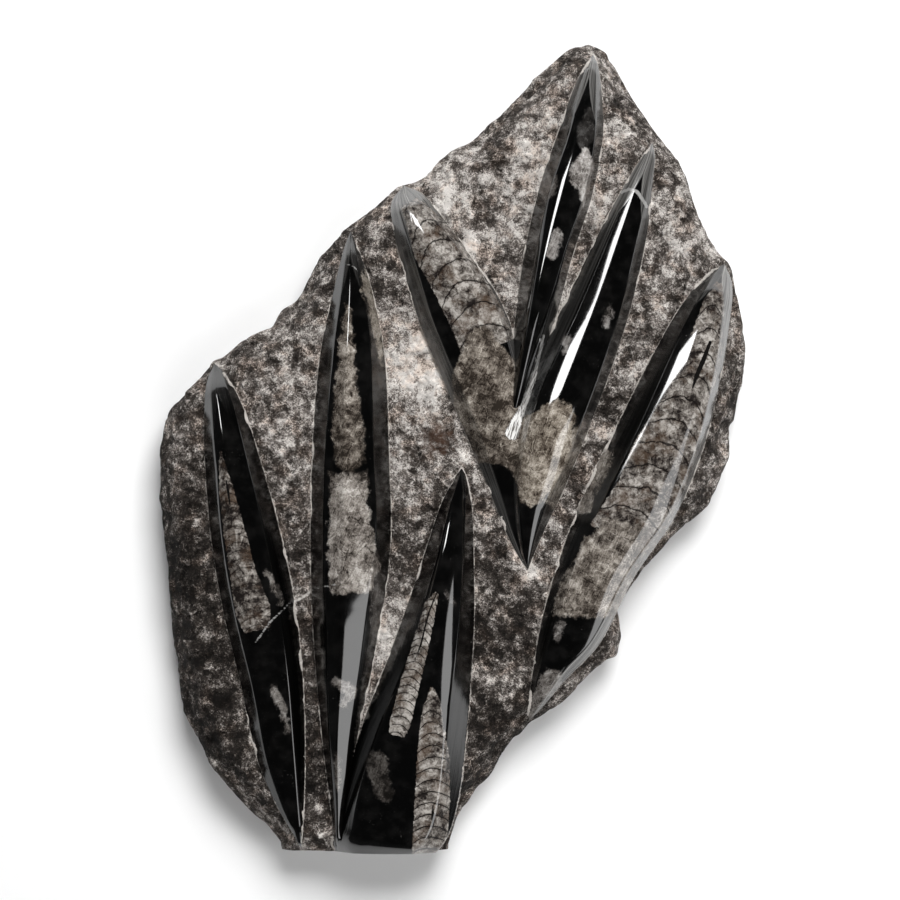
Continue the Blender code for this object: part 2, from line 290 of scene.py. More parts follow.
# White veins: corners as X and Y, and half width. The first crosses the two left ridges and
# the rough stone between them; the others arch over a ridge's roof near its tip.
VEINS = [
    ([(-98, -97), (-90.5, -86.5), (-81.5, -78), (-75.5, -75.5), (-70.5, -71.5), (-63, -69),
      (-58, -68)], 0.6),
    ([(84.4, 127.4), (87.9, 128.6), (91.4, 127.4), (94.2, 124.2), (96.6, 120)], 1.15),
    ([(-53, 91), (-52.3, 90.9), (-49.6, 89.9), (-47, 87.3)], 0.5),
]

# How pale the rough stone is, with painted shade: X, Y, radius and how much paler (above 0) or
# darker. Partly the stone's own paler and darker patches, partly painted shade that darkens the
# stone towards the left and the bottom, where less light falls.
TONES_AND_SHADE = [
    (-16, 41, 24, 1.3),
    (-10, 28, 40, 0.5),
    (-4, 134, 9, 1.9),
    (-8, 108, 24, 0.6),
    (-76, 18, 12, 1.0),
    (-72, 42, 28, 0.4),
    (-32, -97, 17, 1.9),
    (-33, -30, 10, 0.3),
    (8, 103, 6, 1.4),
    (12, 45, 20, 0.5),
    (50, 90, 18, 0.9),
    (36, 118, 30, 0.7),
    (65, 150, 36, 0.75),
    (105, 105, 30, 0.6),
    (120, 60, 24, 0.3),
    (6, -4, 4.2, 2.0),
    (38.5, -62.5, 6, 1.6),
    (12.5, -72, 6, 1.0),
    (14, -114, 7, 0.9),
    (28, -115, 8, 0.9),
    (-140, -60, 34, -1.2),
    (-125, -130, 36, -0.9),
    (20, -92, 20, -0.5),
    (20, -140, 36, -0.6),
    (30, -150, 24, -0.4),
    (140, 20, 22, -0.4),
    (100, -50, 22, -0.4),
    (-68, -160, 26, -1.0),
]

# Where iron has stained the rough stone: X, Y and radius.
RUST = (-7, 4, 12)

# Farther than this, in millimetres, from a marking its distance isn't kept.
FAR = 9.0


# ---- numbers and curves
def eased(share):
    share = np.clip(share, 0.0, 1.0)
    return share * share * (3 - 2 * share)


def smooth_values(places, values, wanted):
    """A smooth curve through the values at the given places, read at the wanted places."""
    places, values = np.array(places, float), np.array(values, float)
    wanted = np.asarray(wanted, float)
    i = np.clip(np.searchsorted(places, wanted, "right") - 1, 0, len(places) - 2)
    before = np.maximum(np.arange(len(places)) - 1, 0)
    after = np.minimum(np.arange(len(places)) + 1, len(places) - 1)
    slope = (values[after] - values[before]) / (places[after] - places[before])
    span = places[i + 1] - places[i]
    s = (wanted - places[i]) / span
    return (
        values[i] * (1 + 2 * s) * (1 - s) ** 2
        + values[i + 1] * s * s * (3 - 2 * s)
        + slope[i] * span * s * (1 - s) ** 2
        - slope[i + 1] * span * s * s * (1 - s)
    )


def distance_to_line(points, corners, closed=False):
    """For each point: how far it lies from a line of corners, how far along the line its
    nearest place is, and how far it lies to the left of the line there."""
    corners = np.array(corners, float)[:, :2]
    starts = corners if closed else corners[:-1]
    ends = np.roll(corners, -1, axis=0) if closed else corners[1:]
    nearest = np.full(len(points), np.inf)
    along = np.zeros(len(points))
    side = np.zeros(len(points))
    passed = 0.0
    for start, end in zip(starts, ends):
        step = end - start
        length = math.hypot(*step)
        reach = (points - start) @ step / length**2
        share = np.clip(reach, 0, 1)
        gap = points - start - share[:, None] * step
        distance = np.hypot(gap[:, 0], gap[:, 1])
        closer = distance < nearest
        nearest = np.where(closer, distance, nearest)
        along = np.where(closer, passed + share * length, along)
        left = (step[0] * (points[:, 1] - start[1]) - step[1] * (points[:, 0] - start[0])) / length
        side = np.where(closer, left, side)
        passed += length
    return nearest, along, side


def fading_from(points, x, y, radius):
    """1 at a place and less all round it, over a radius."""
    return np.exp(-((points - np.array([x, y])) ** 2).sum(axis=1) / radius**2)


def noise_at(points, size, offset=0.0):
    """Smooth noise from -1 to 1 at points in millimetres, those of the plane at height 0."""
    scaled = np.zeros((len(points), 3))
    scaled[:, : points.shape[1]] = points / size
    scaled[:, 2] += offset / size
    return np.array([noise.noise(Vector(p)) for p in scaled])


# ---- the shape of the stone
def front_level(points):
    """The height of the front without its lumps."""
    swell = noise_at(points, SWELL_SIZE)
    patch = noise_at(points, MARGIN_PATCH, PATCH_SHIFT)
    inside, _, _ = distance_to_line(points, OUTLINE, closed=True)
    margin = 1 - eased(inside / MARGIN_WIDTH)
    return FRONT_LEVEL + SWELL * swell - MARGIN_DROP * margin * (1 + MARGIN_CHANGE * patch)


def front_height(points):
    """The height of the rough front, without the marks of the chisel."""
    lump = noise_at(points, LUMP_SIZE, LUMP_SHIFT)
    chip = noise_at(points, CHIP_SIZE, CHIP_SHIFT)
    return front_level(points) + LUMP * lump + CHIP * chip


def side_inset(points):
    """How far the broken side stands back from the outline at points of it."""
    stretched = points * np.array([1, 1, SIDE_LEDGE_FLATNESS])
    ledge = np.abs(noise_at(stretched, SIDE_LEDGE_SIZE))
    grain = np.abs(noise_at(points, CHIP_SIZE, GRAIN_SHIFT))
    under = eased(1 - points[:, 2] / UNDERCUT_HEIGHT) ** 2
    return SIDE_LEDGE * ledge + SIDE_GRAIN * grain + UNDERCUT * under - SIDE_REACH


class Ridge:
    """One polished ridge: its line from tip to tail and its two edges."""

    def __init__(self, name):
        shape = SPINDLES[name]
        self.name = name
        self.tip = np.array(shape["tip"], float)
        self.tail = np.array(shape["tail"], float)
        self.length = math.hypot(*(self.tail - self.tip))
        self.along = (self.tail - self.tip) / self.length
        self.leftward = np.array([self.along[1], -self.along[0]])
        self.shape = shape
        self.widest = max(a + b for a, b in zip(shape["left"], shape["right"])) / 2

    def edges(self, share):
        left = smooth_values(STATIONS, self.shape["left"], share)
        right = smooth_values(STATIONS, self.shape["right"], share)
        return left, right

    def middle(self, share):
        """The middle of the ridge and its half width, for shares of its length."""
        left, right = self.edges(share)
        centre = self.tip + np.outer(share * self.length, self.along)
        centre = centre + np.outer((left - right) / 2, self.leftward)
        return centre, np.maximum((left + right) / 2, 0)

    def crest(self, share):
        """The height of the crest over the rough front."""
        height, peak, steepness, tail = self.shape["crest"]
        rising = height * (1 - np.abs(1 - share / peak) ** steepness)
        falling = tail + (height - tail) * (1 - ((share - peak) / (1 - peak)) ** 2)
        return np.where(share < peak, rising, falling)

    def creases(self, half):
        """How far across the two creases lie, in shares of the half width."""
        left, right = self.shape["walls"]
        safe = np.maximum(half, 0.01)
        return 1 - np.minimum(left / safe, MOST_WALL), 1 - np.minimum(right / safe, MOST_WALL)

    def section(self, share, half, across):
        """The height over the rough front, for rows of the ridge and places across it."""
        crest = self.crest(share)[:, None]
        left, right = (crease[:, None] for crease in self.creases(half))
        wall_left = CREASE_HEIGHT * crest * (1 - across) / (1 - left)
        wall_right = CREASE_HEIGHT * crest * (1 + across) / (1 - right)
        wall = np.minimum(wall_left, wall_right)
        roundness, lean, softness = self.shape["roof"]
        top = (left - right) / 2 + lean
        reach = np.maximum((across - top) / (left - top), (top - across) / (right + top))
        reach = np.sqrt(reach**2 + softness**2) - softness
        fall = np.where(reach < 1, np.abs(reach) ** roundness, 1 + roundness * (reach - 1))
        dome = crest * (1 - (1 - CREASE_HEIGHT) * fall)
        near = np.maximum(CREASE_SOFTNESS - np.abs(wall - dome), 0) / CREASE_SOFTNESS
        return np.minimum(wall, dome) - near * near * CREASE_SOFTNESS / 4

    def distance_outside(self, points):
        """How far points lie outside the ridge's foot line, less than 0 inside it."""
        away = points - self.tip
        share = away @ self.along / self.length
        inside = np.clip(share, 0, 1)
        left, right = self.edges(inside)
        offset = away @ self.leftward - (left - right) / 2
        across = np.abs(offset) - (left + right) / 2
        beyond = np.abs(share - inside) * self.length
        return np.where(beyond > 0, np.hypot(beyond, offset), across)


# ---- meshes
def new_piece(name, verts, faces, material, attributes):
    """A smooth mesh object with its values at each point, set in the shared frame."""
    mesh = bpy.data.meshes.new(name)
    mesh.from_pydata((np.asarray(verts) * MM).tolist(), [], faces)
    for key, values in attributes.items():
        values = np.asarray(values, np.float32)
        kind = "FLOAT" if values.ndim == 1 else "FLOAT_VECTOR"
        field = "value" if values.ndim == 1 else "vector"
        attribute = mesh.attributes.new(key, kind, "POINT")
        attribute.data.foreach_set(field, values.ravel())
    mesh.materials.append(material)
    piece = bpy.data.objects.new(name, mesh)
    bpy.context.scene.collection.objects.link(piece)
    mesh.shade_smooth()
    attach(piece, "root")
    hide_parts("fossil_stone")
    return piece


def sawn_off(piece, line):
    """Cuts the piece off below a line in Y and closes the cut in its second material."""
    cut = bmesh.new()
    cut.from_mesh(piece.data)
    whole = cut.verts[:] + cut.edges[:] + cut.faces[:]
    result = bmesh.ops.bisect_plane(
        cut,
        geom=whole,
        dist=1e-7,
        plane_co=(0, line * MM, 0),
        plane_no=(0, -1, 0),
        clear_outer=True,
    )
    edges = [item for item in result["geom_cut"] if isinstance(item, bmesh.types.BMEdge)]
    filled = bmesh.ops.edgeloop_fill(cut, edges=edges)
    for face in filled["faces"]:
        face.smooth = False
        face.material_index = 1
    bmesh.ops.recalc_face_normals(cut, faces=cut.faces)
    cut.to_mesh(piece.data)
    cut.free()


def band_fields(points, stations, round_ends=False):
    """How far points lie inside a band of changing width, whose ends are cut square or round,
    how far along it they lie and how far to its left."""
    line = [(x, y) for x, y, _ in stations]
    distance, along, side = distance_to_line(points, line)
    lengths = np.cumsum([0] + [math.dist(a, b) for a, b in zip(line, line[1:])])
    half = np.interp(along, lengths, [h for _, _, h in stations])
    if round_ends:
        return half - distance, along, side / np.maximum(half, 0.5)
    at_end = (along < 1e-6) | (along > lengths[-1] - 1e-6)
    beyond = np.sqrt(np.maximum(distance**2 - side**2, 0))
    to_end = np.minimum(along, lengths[-1] - along)
    past_end = np.minimum(half - np.abs(side), -beyond)
    depth = np.where(at_end, past_end, np.minimum(half - distance, to_end))
    return depth, along, side / np.maximum(half, 0.5)


def shell_fields(name, points):
    """Where points lie in the shells of a ridge: millimetres inside the shell's edge; along
    the shell, across it and the spacing of its chamber walls; their strength; its shade."""
    inside = np.full(len(points), -FAR)
    place = np.zeros((len(points), 3))
    strength = np.zeros(len(points))
    lightness = np.zeros(len(points))
    for stations, spacing, walls, shade in SHELLS.get(name, []):
        depth, along, across = band_fields(points, stations)
        closer = depth > inside
        inside = np.where(closer, depth, inside)
        here = np.column_stack([along / spacing, across, np.full(len(points), spacing)])
        place = np.where(closer[:, None], here, place)
        strength = np.where(closer, walls, strength)
        lightness = np.where(closer, shade, lightness)
    return np.clip(inside, -FAR, FAR), place, strength, lightness


def spar_fields(name, points):
    """Millimetres inside the patches of spar, and their warmth, strength and shade."""
    inside = np.full(len(points), -FAR)
    look = np.zeros((len(points), 3))
    for stations, warmth, strength, shade in SPAR.get(name, []):
        square = stations[-1][2] >= SQUARE_WIDTH
        depth, _, _ = band_fields(points, stations, round_ends=not square)
        # The painted highlight, with warmth below 0, lies over any patch it touches.
        painted_highlight_mask = (depth > 0) & (warmth < 0)
        closer = (depth > inside) | painted_highlight_mask
        inside = np.where(closer, np.where(painted_highlight_mask, depth + 2, depth), inside)
        look = np.where(closer[:, None], np.array([warmth, strength, shade]), look)
    return np.clip(inside, -FAR, FAR), look


def siphuncle_field(points):
    depths = [band_fields(points, stations, round_ends=True)[0] for stations in SIPHUNCLES]
    return np.maximum(np.max(depths, axis=0), -FAR)


def vein_field(points):
    depths = [half - distance_to_line(points, corners)[0] for corners, half in VEINS]
    return np.maximum(np.max(depths, axis=0), -FAR)


RIDGE_ROWS = 330
TOP_STRANDS = 84
ROOT_STRANDS = 10
# How evenly the rows and the strands are spaced, the rest being crowded at the ends.
EVEN_ROWS = 0.6
EVEN_STRANDS = 0.75
# How far the ridges stand out of the sawn foot, so that their ends aren't in the matrix's.
FOOT_PROUD = 0.08


def ridge_piece(ridge, material, sawn):
    """A closed loft with a fine top: rows from tip to tail, strands from edge to edge."""
    walk = np.arange(1, RIDGE_ROWS) / RIDGE_ROWS
    share = EVEN_ROWS * walk + (1 - EVEN_ROWS) * (1 - np.cos(np.pi * walk)) / 2
    centre, half = ridge.middle(share)
    base = front_level(centre)[:, None]
    fullness = (half / ridge.widest) ** SLENDERNESS
    over = EVEN_STRANDS * np.linspace(1, -1, TOP_STRANDS + 1)
    turn = np.pi * np.arange(TOP_STRANDS + 1) / TOP_STRANDS
    over = over + (1 - EVEN_STRANDS) * np.cos(turn)
    under = np.pi * (1 + np.arange(1, ROOT_STRANDS) / ROOT_STRANDS)
    across = np.concatenate([over, np.cos(under)])
    top = ridge.section(share, half, over[None, :])
    root = ROOT_DEPTH * np.outer(fullness, np.sin(under))
    flat = centre[:, None, :] + half[:, None, None] * across[None, :, None] * ridge.leftward
    height = base + np.concatenate([top, root], axis=1)
    verts = np.concatenate([flat, height[:, :, None]], axis=2).reshape(-1, 3)
    ends = np.array([ridge.tip, ridge.tail])
    verts = np.concatenate([verts, np.column_stack([ends, front_level(ends)])])
    ring = len(across)
    faces = []
    for row in range(len(share) - 1):
        low, high = row * ring, (row + 1) * ring
        for k in range(ring):
            following = (k + 1) % ring
            faces.append((low + k, high + k, high + following, low + following))
    first, last = len(verts) - 2, len(verts) - 1
    end = (len(share) - 1) * ring
    for k in range(ring):
        following = (k + 1) % ring
        faces.append((first, k, following))
        faces.append((last, end + following, end + k))
    flat_points = verts[:, :2]
    lengthwise = (flat_points - ridge.tip) @ ridge.along
    crosswise = (flat_points - ridge.tip) @ ridge.leftward
    across_all = np.concatenate([np.tile(across, len(share)), [0, 0]])
    creases = ridge.creases(np.maximum(half, 0.5))
    left_crease, right_crease = (crease[:, None] for crease in creases)
    start, run = ridge.shape["roof_start"]
    opened = np.clip((share * ridge.length - start) / run, 0, 1)[:, None]
    top_line = (left_crease - right_crease) / 2 + ridge.shape["roof"][1]
    to_left = across[None, :] - top_line
    wall_gap = np.where(
        to_left > 0,
        (to_left - (left_crease - top_line) * opened) * half[:, None],
        (-to_left - (right_crease + top_line) * opened) * half[:, None],
    )
    wall_gap = np.concatenate([wall_gap.ravel(), [1, 1]])
    shell_inside, shell_place, shell_walls, shell_shade = shell_fields(ridge.name, flat_points)
    spar_inside, spar_look = spar_fields(ridge.name, flat_points)
    # Painted sheen on the walls, paler down from the tip.
    sheen_end, sheen_whiteness = ridge.shape["painted_tip_sheen"]
    # The walls' own dark grey, with painted sheen lighter on some ridges and sides.
    left_tone_and_sheen, right_tone_and_sheen = ridge.shape["wall_tones_and_sheen"]
    attributes = {
        "ridge_place": np.column_stack([lengthwise, crosswise, across_all]),
        "wall_gap": wall_gap,
        "wall_tone_and_sheen": np.where(across_all > 0, left_tone_and_sheen, right_tone_and_sheen),
        "tip_sheen_tone": sheen_whiteness * eased((sheen_end - lengthwise) / sheen_end + 0.3),
        "shell_inside": shell_inside,
        "shell_place": shell_place,
        "shell_walls": shell_walls,
        "shell_shade": shell_shade,
        "spar_inside": spar_inside,
        "spar_look": spar_look,
        "siphuncle_inside": siphuncle_field(flat_points),
        "vein_inside": vein_field(flat_points),
    }
    piece = new_piece("ridge_" + ridge.name, verts, faces, material, attributes)
    if verts[:, 1].min() < FOOT_LINE:
        piece.data.materials.append(sawn)
        sawn_off(piece, FOOT_LINE - FOOT_PROUD)


# ---- the rough block
FRONT_SPACING = 0.82
RIM_SPACING = 1.35
SIDE_ROWS = 22
SIDE_FACET = 8.0
LEVEL_CROWDING = 0.9
OUTLINE_HOLD = 0.85
RIM_GROWTH = 0.9
RIM_ROUNDING = 3.2
RIM_ROUNDING_HEIGHT = 5.0
BREAK_DEPTH = 0.4
MOST_BREAK = 1.6

# The rows of an even grid of triangles, as a share of its spacing.
ROW_HEIGHT = 0.866
GRID_JITTER = 0.22
# How far, in millimetres, the front runs on under the ridges, and how deep it drops there.
TUCKED_UNDER = 2.2
HIDDEN_DROP = 3.0
GROOVE = 0.8
EDGE_DROP = 3.0
EDGE_DROP_WIDTH = 6.5

# The rubble of the broken side: depth, size and shift of each noise.
RUBBLE = [(0.6, 3.6, 7), (0.45, 1.7, 17)]
# The chisel's facets: depth, size, how far their edges wander and the seed of their draws.
FACETS = [(0.5, 6.5, 2.0, 5), (0.28, 2.8, 1.2, 9)]
WANDER_SIZE = 5.0
WANDER_SHIFTS = (11, 31)
MARK_GRAIN = 0.2
MARK_GRAIN_SIZE = 1.6
MARK_GRAIN_SHIFT = 55
# Beside a ridge the marks start at a share of their depth and grow to all of it.
MARKS_AT_RIDGE = 0.35
MARKS_START = 0.3
MARKS_GROWTH = 2.5
GROOVE_PLACE = 0.6
# From here on, in millimetres under a ridge, the front drops out of sight.
HIDDEN_FROM = 1.6
MOST_GROUND_GAP = 20.0


def rim_points():
    """Points at even spacing along the outline, with the outward direction at each."""
    corners = np.array(OUTLINE, float)
    closed = np.vstack([corners, corners[:1]])
    lengths = np.concatenate([[0], np.cumsum(np.hypot(*np.diff(closed, axis=0).T))])
    count = int(lengths[-1] / RIM_SPACING)
    places = np.linspace(0, lengths[-1], count, endpoint=False)
    points = np.column_stack([np.interp(places, lengths, closed[:, i]) for i in (0, 1)])
    ahead, behind = np.roll(points, -3, axis=0), np.roll(points, 3, axis=0)
    tangent = ahead - behind
    tangent /= np.hypot(*tangent.T)[:, None]
    return points, np.column_stack([-tangent[:, 1], tangent[:, 0]])


def facet_field(points, size, seed):
    """Facets as a chisel leaves them: each point takes the tilted plane of its nearest cell."""
    low = points.min(axis=0) - 2 * size
    columns = int((points[:, 0].max() - low[0]) / size) + 3
    rows = int((points[:, 1].max() - low[1]) / size) + 3
    random = np.random.default_rng(seed)
    jitter = random.uniform(0.05, 0.95, (columns, rows, 2))
    tilt = random.normal(0, 1, (columns, rows, 2))
    level = random.normal(0, 1, (columns, rows))
    cell = ((points - low) / size).astype(int)
    best = np.full(len(points), np.inf)
    value = np.zeros(len(points))
    for dx in (-1, 0, 1):
        for dy in (-1, 0, 1):
            i = np.clip(cell[:, 0] + dx, 0, columns - 1)
            j = np.clip(cell[:, 1] + dy, 0, rows - 1)
            seat = low + (np.column_stack([i, j]) + jitter[i, j]) * size
            away = points - seat
            distance = np.hypot(away[:, 0], away[:, 1])
            plane = level[i, j] + (away * tilt[i, j]).sum(axis=1) / size
            closer = distance < best
            value = np.where(closer, plane, value)
            best = np.where(closer, distance, best)
    return value


def chisel_marks(points):
    """The fine relief of the chiselled front, in millimetres."""
    wander = np.column_stack([noise_at(points, WANDER_SIZE, shift) for shift in WANDER_SHIFTS])
    facets = sum(
        share * facet_field(points + reach * wander, size, seed)
        for share, size, reach, seed in FACETS
    )
    return facets + MARK_GRAIN * noise_at(points, MARK_GRAIN_SIZE, MARK_GRAIN_SHIFT)


def points_inside(points, corners):
    """Which points lie inside a closed line of corners."""
    inside = np.zeros(len(points), bool)
    x, y = points.T
    for (ax, ay), (bx, by) in zip(corners, np.roll(corners, -1, axis=0)):
        if ay == by:
            continue
        crosses = (ay > y) != (by > y)
        inside ^= crosses & (x < (bx - ax) * (y - ay) / (by - ay) + ax)
    return inside


def triangulated(points, rim):
    """Triangles over the points inside a rim. The points start with the rim's own. Where the
    rim crosses itself a point is added, so the points come back with the rim's places."""
    count = len(rim)
    edges = [(k, (k + 1) % count) for k in range(count)]
    made = delaunay_2d_cdt([Vector(p) for p in points], edges, [], 0, 1e-7, True)
    field = np.array([tuple(p) for p in made[0]])
    place_of = {old: new for new, old_ones in enumerate(made[3]) for old in old_ones}
    triangles = np.array(made[2])
    inside = points_inside(field[triangles].mean(axis=1), rim)
    triangles = [tuple(int(k) for k in triangle) for triangle in triangles[inside]]
    return field, triangles, np.array([place_of[k] for k in range(count)])


def rough_matrix(ridges, material, sawn):
    rim, outward = rim_points()
    round_the_rim = np.arange(len(rim)) * RIM_SPACING
    levels = np.linspace(1, 0, SIDE_ROWS + 1) ** LEVEL_CROWDING
    top = front_height(rim)
    insets = []
    for level in levels:
        z = level * top
        at = np.column_stack([rim, z])
        rounding = RIM_ROUNDING * np.clip(1 - (top - z) / RIM_ROUNDING_HEIGHT, 0, 1) ** 2
        rubble = sum(depth * noise_at(at, size, shift) for depth, size, shift in RUBBLE)
        breaks = facet_field(np.column_stack([round_the_rim, z + SIDE_FACET]), SIDE_FACET, 21)
        rubble = rubble + BREAK_DEPTH * np.clip(breaks, -MOST_BREAK, MOST_BREAK)
        insets.append(side_inset(at) + rounding - rubble)
    insets = np.array(insets)
    # The side bulges out to the outline somewhere down its height, all round the stone.
    insets = insets - OUTLINE_HOLD * insets[:-1].min(axis=0)
    side = []
    for level, inset in zip(levels, insets):
        place = rim + outward * (RIM_GROWTH - inset)[:, None]
        place = place / 2 + (np.roll(place, 1, axis=0) + np.roll(place, -1, axis=0)) / 4
        side.append(np.column_stack([place, level * top]))
    crown = side[0][:, :2]

    low, high = crown.min(axis=0), crown.max(axis=0)
    columns = int((high[0] - low[0]) / FRONT_SPACING)
    rows = int((high[1] - low[1]) / (FRONT_SPACING * ROW_HEIGHT))
    i, j = np.meshgrid(np.arange(columns), np.arange(rows), indexing="ij")
    random = np.random.default_rng(3)
    grid = np.column_stack([(i + 0.5 * (j % 2)).ravel(), j.ravel() * ROW_HEIGHT])
    grid = grid * FRONT_SPACING + low
    grid = grid + random.uniform(-GRID_JITTER, GRID_JITTER, grid.shape) * FRONT_SPACING
    distance, _, _ = distance_to_line(grid, crown, closed=True)
    inside = points_inside(grid, crown)
    covered = np.min([ridge.distance_outside(grid) for ridge in ridges], axis=0)
    keep = inside & (distance > FRONT_SPACING * 0.6) & (covered > -TUCKED_UNDER)
    field = np.vstack([crown, grid[keep]])
    count = len(crown)
    field, triangles, rim_seats = triangulated(field, crown)
    outside = np.min([ridge.distance_outside(field) for ridge in ridges], axis=0)
    inner, _, _ = distance_to_line(field, OUTLINE, closed=True)
    height = front_height(field)
    marks = chisel_marks(field)
    grown = eased((outside - MARKS_START) / MARKS_GROWTH)
    groove = GROOVE * np.exp(-((outside - GROOVE_PLACE) ** 2))
    height = height + marks * (MARKS_AT_RIDGE + (1 - MARKS_AT_RIDGE) * grown) - groove
    height = height - EDGE_DROP * np.clip(1 - inner / EDGE_DROP_WIDTH, 0, 1) ** 2
    height = np.where(outside < -HIDDEN_FROM, height - HIDDEN_DROP, height)
    height[rim_seats] = side[0][:, 2]
    verts = [np.column_stack([field, height])]
    base = len(field)
    faces = [tuple(t) for t in triangles]
    above = rim_seats
    for number, row in enumerate(side[1:]):
        below = base + number * count + np.arange(count)
        verts.append(row)
        for k in range(count):
            n = (k + 1) % count
            if above[k] == above[n]:
                faces.append((above[k], below[n], below[k]))
            else:
                faces.append((above[k], above[n], below[n], below[k]))
        above = below
    side_faces = len(faces)
    _, triangles, seats = triangulated(side[-1][:, :2], side[-1][:, :2])
    rim_of = {seat: int(above[k]) for k, seat in enumerate(seats)}
    for triangle in triangles:
        if all(k in rim_of for k in triangle):
            faces.append(tuple(rim_of[k] for k in reversed(triangle)))
    verts = np.vstack(verts)
    flat = verts[:, :2]
    # The stone's own tone with painted shade, darker towards the left and the bottom.
    tone_and_painted_light = np.zeros(len(verts))
    for x, y, radius, amount in TONES_AND_SHADE:
        tone_and_painted_light += amount * fading_from(flat, x, y, radius)
    relief = np.zeros(len(verts))
    relief[: len(field)] = marks
    ground = np.full(len(verts), MOST_GROUND_GAP)
    ground[: len(field)] = np.minimum(outside, MOST_GROUND_GAP)
    attributes = {
        "tone_and_painted_light": tone_and_painted_light,
        "relief": relief,
        "rust": fading_from(flat, *RUST),
        "ground_gap": ground,
        "vein_inside": vein_field(flat),
    }
    piece = new_piece("rough_matrix", verts, faces, material, attributes)
    piece.data.materials.append(sawn)
    for polygon in piece.data.polygons[side_faces:]:
        polygon.material_index = 1
        polygon.use_smooth = False
    sawn_off(piece, FOOT_LINE)


# ---- materials
class Shading:
    """A material's node tree, built from small expressions."""

    def __init__(self, name):
        self.material = bpy.data.materials.new(name)
        self.material.use_nodes = True
        self.tree = self.material.node_tree
        place = self.node("ShaderNodeTexCoord", "Object", {})
        self.place = self.vector("SCALE", place, scale=1 / MM)

    def put(self, socket, value):
        if isinstance(value, bpy.types.NodeSocket):
            self.tree.links.new(value, socket)
        else:
            socket.default_value = value

    def node(self, kind, output, inputs, **settings):
        """An output of a new node, whose inputs are values or other nodes' outputs."""
        made = self.tree.nodes.new(kind)
        for key, value in settings.items():
            setattr(made, key, value)
        for socket, value in inputs.items():
            if value is not None:
                self.put(made.inputs[socket], value)
        return made.outputs[output]

    def math(self, operation, a, b=None, c=None):
        return self.node("ShaderNodeMath", 0, {0: a, 1: b, 2: c}, operation=operation)

    def add(self, a, b):
        return self.math("ADD", a, b)

    def less(self, a, b):
        return self.math("SUBTRACT", a, b)

    def times(self, a, b, plus=None):
        return self.math("MULTIPLY" if plus is None else "MULTIPLY_ADD", a, b, plus)

    def size_of(self, value):
        return self.math("ABSOLUTE", value)

    def inverse(self, value):
        return self.less(1.0, value)

    def around_zero(self, noise):
        return self.less(noise, 0.5)

    def summed(self, start, *shares):
        """The start with each value added in its share."""
        total = start
        for value, share in shares:
            total = self.times(value, share, plus=total)
        return total

    def vector(self, operation, a, b=None, scale=None):
        inputs = {0: a, 1: b, "Scale": scale}
        return self.node("ShaderNodeVectorMath", "Vector", inputs, operation=operation)

    def attribute(self, name, output="Fac"):
        settings = {"attribute_type": "GEOMETRY", "attribute_name": name}
        return self.node("ShaderNodeAttribute", output, {}, **settings)

    def parts(self, vector):
        first = self.node("ShaderNodeSeparateXYZ", 0, {0: vector})
        return first, first.node.outputs[1], first.node.outputs[2]

    def joined(self, x, y, z):
        return self.node("ShaderNodeCombineXYZ", 0, {0: x, 1: y, 2: z})

    def noise(self, size, detail=2.0, roughness=0.55, place=None, distortion=0.0, shift=None):
        """Noise with features of a size in millimetres, from 0 to 1 around 0.5."""
        place = self.place if place is None else place
        if shift is not None:
            place = self.vector("ADD", place, shift)
        inputs = {
            "Vector": place,
            "Scale": 1 / size,
            "Detail": detail,
            "Roughness": roughness,
            "Distortion": distortion,
        }
        return self.node("ShaderNodeTexNoise", "Fac", inputs)

    def spread(self, size, shift, reach):
        """An offset that wanders in X and Y over a size, by up to a reach."""
        wander = self.joined(self.noise(size), self.noise(size, shift=shift), 0)
        return self.vector("SCALE", wander, scale=reach)

    def cells(self, size, place, feature="F1", output="Color"):
        inputs = {"Vector": place, "Scale": 1 / size}
        return self.node("ShaderNodeTexVoronoi", output, inputs, feature=feature)

    def step(self, value, low, high):
        """0 below low and 1 above high, with a smooth rise between."""
        inputs = {"Value": value, "From Min": low, "From Max": high}
        settings = {"interpolation_type": "SMOOTHSTEP"}
        return self.node("ShaderNodeMapRange", "Result", inputs, **settings)

    def mix(self, share, a, b, kind="RGBA"):
        inputs = {"Factor": share, "A": a, "B": b}
        return self.node("ShaderNodeMix", "Result", inputs, data_type=kind)

    def ramp(self, share, stops):
        """Colours that change evenly between stops, each a place from 0 to 1 and a colour."""
        made = self.node("ShaderNodeValToRGB", "Color", {"Fac": share})
        elements = made.node.color_ramp.elements
        while len(elements) < len(stops):
            elements.new(1.0)
        for element, (place, colour) in zip(elements, stops):
            element.position = place
            element.color = (*colour, 1)
        return made

    def turned(self, angle, along, across):
        """The place turned by an angle and squeezed, so that noise on it is drawn out."""
        x, y, z = self.parts(self.place)
        cosine, sine = math.cos(math.radians(angle)), math.sin(math.radians(angle))
        lengthwise = self.times(y, sine, plus=self.times(x, cosine))
        crosswise = self.times(y, cosine, plus=self.times(x, -sine))
        return self.joined(
            self.math("DIVIDE", lengthwise, along),
            self.math("DIVIDE", crosswise, across),
            self.math("DIVIDE", z, across),
        )

    def bump(self, height, depth):
        """A bump whose height runs from 0 to 1 over a depth in millimetres."""
        return self.node("ShaderNodeBump", "Normal", {"Height": height, "Distance": depth * MM})

    def finish(self, colour, roughness, normal, **constants):
        inputs = self.tree.nodes["Principled BSDF"].inputs
        self.put(inputs["Base Color"], colour)
        self.put(inputs["Roughness"], roughness)
        self.put(inputs["Normal"], normal)
        for key, value in constants.items():
            inputs[key.replace("_", " ")].default_value = value
        return self.material


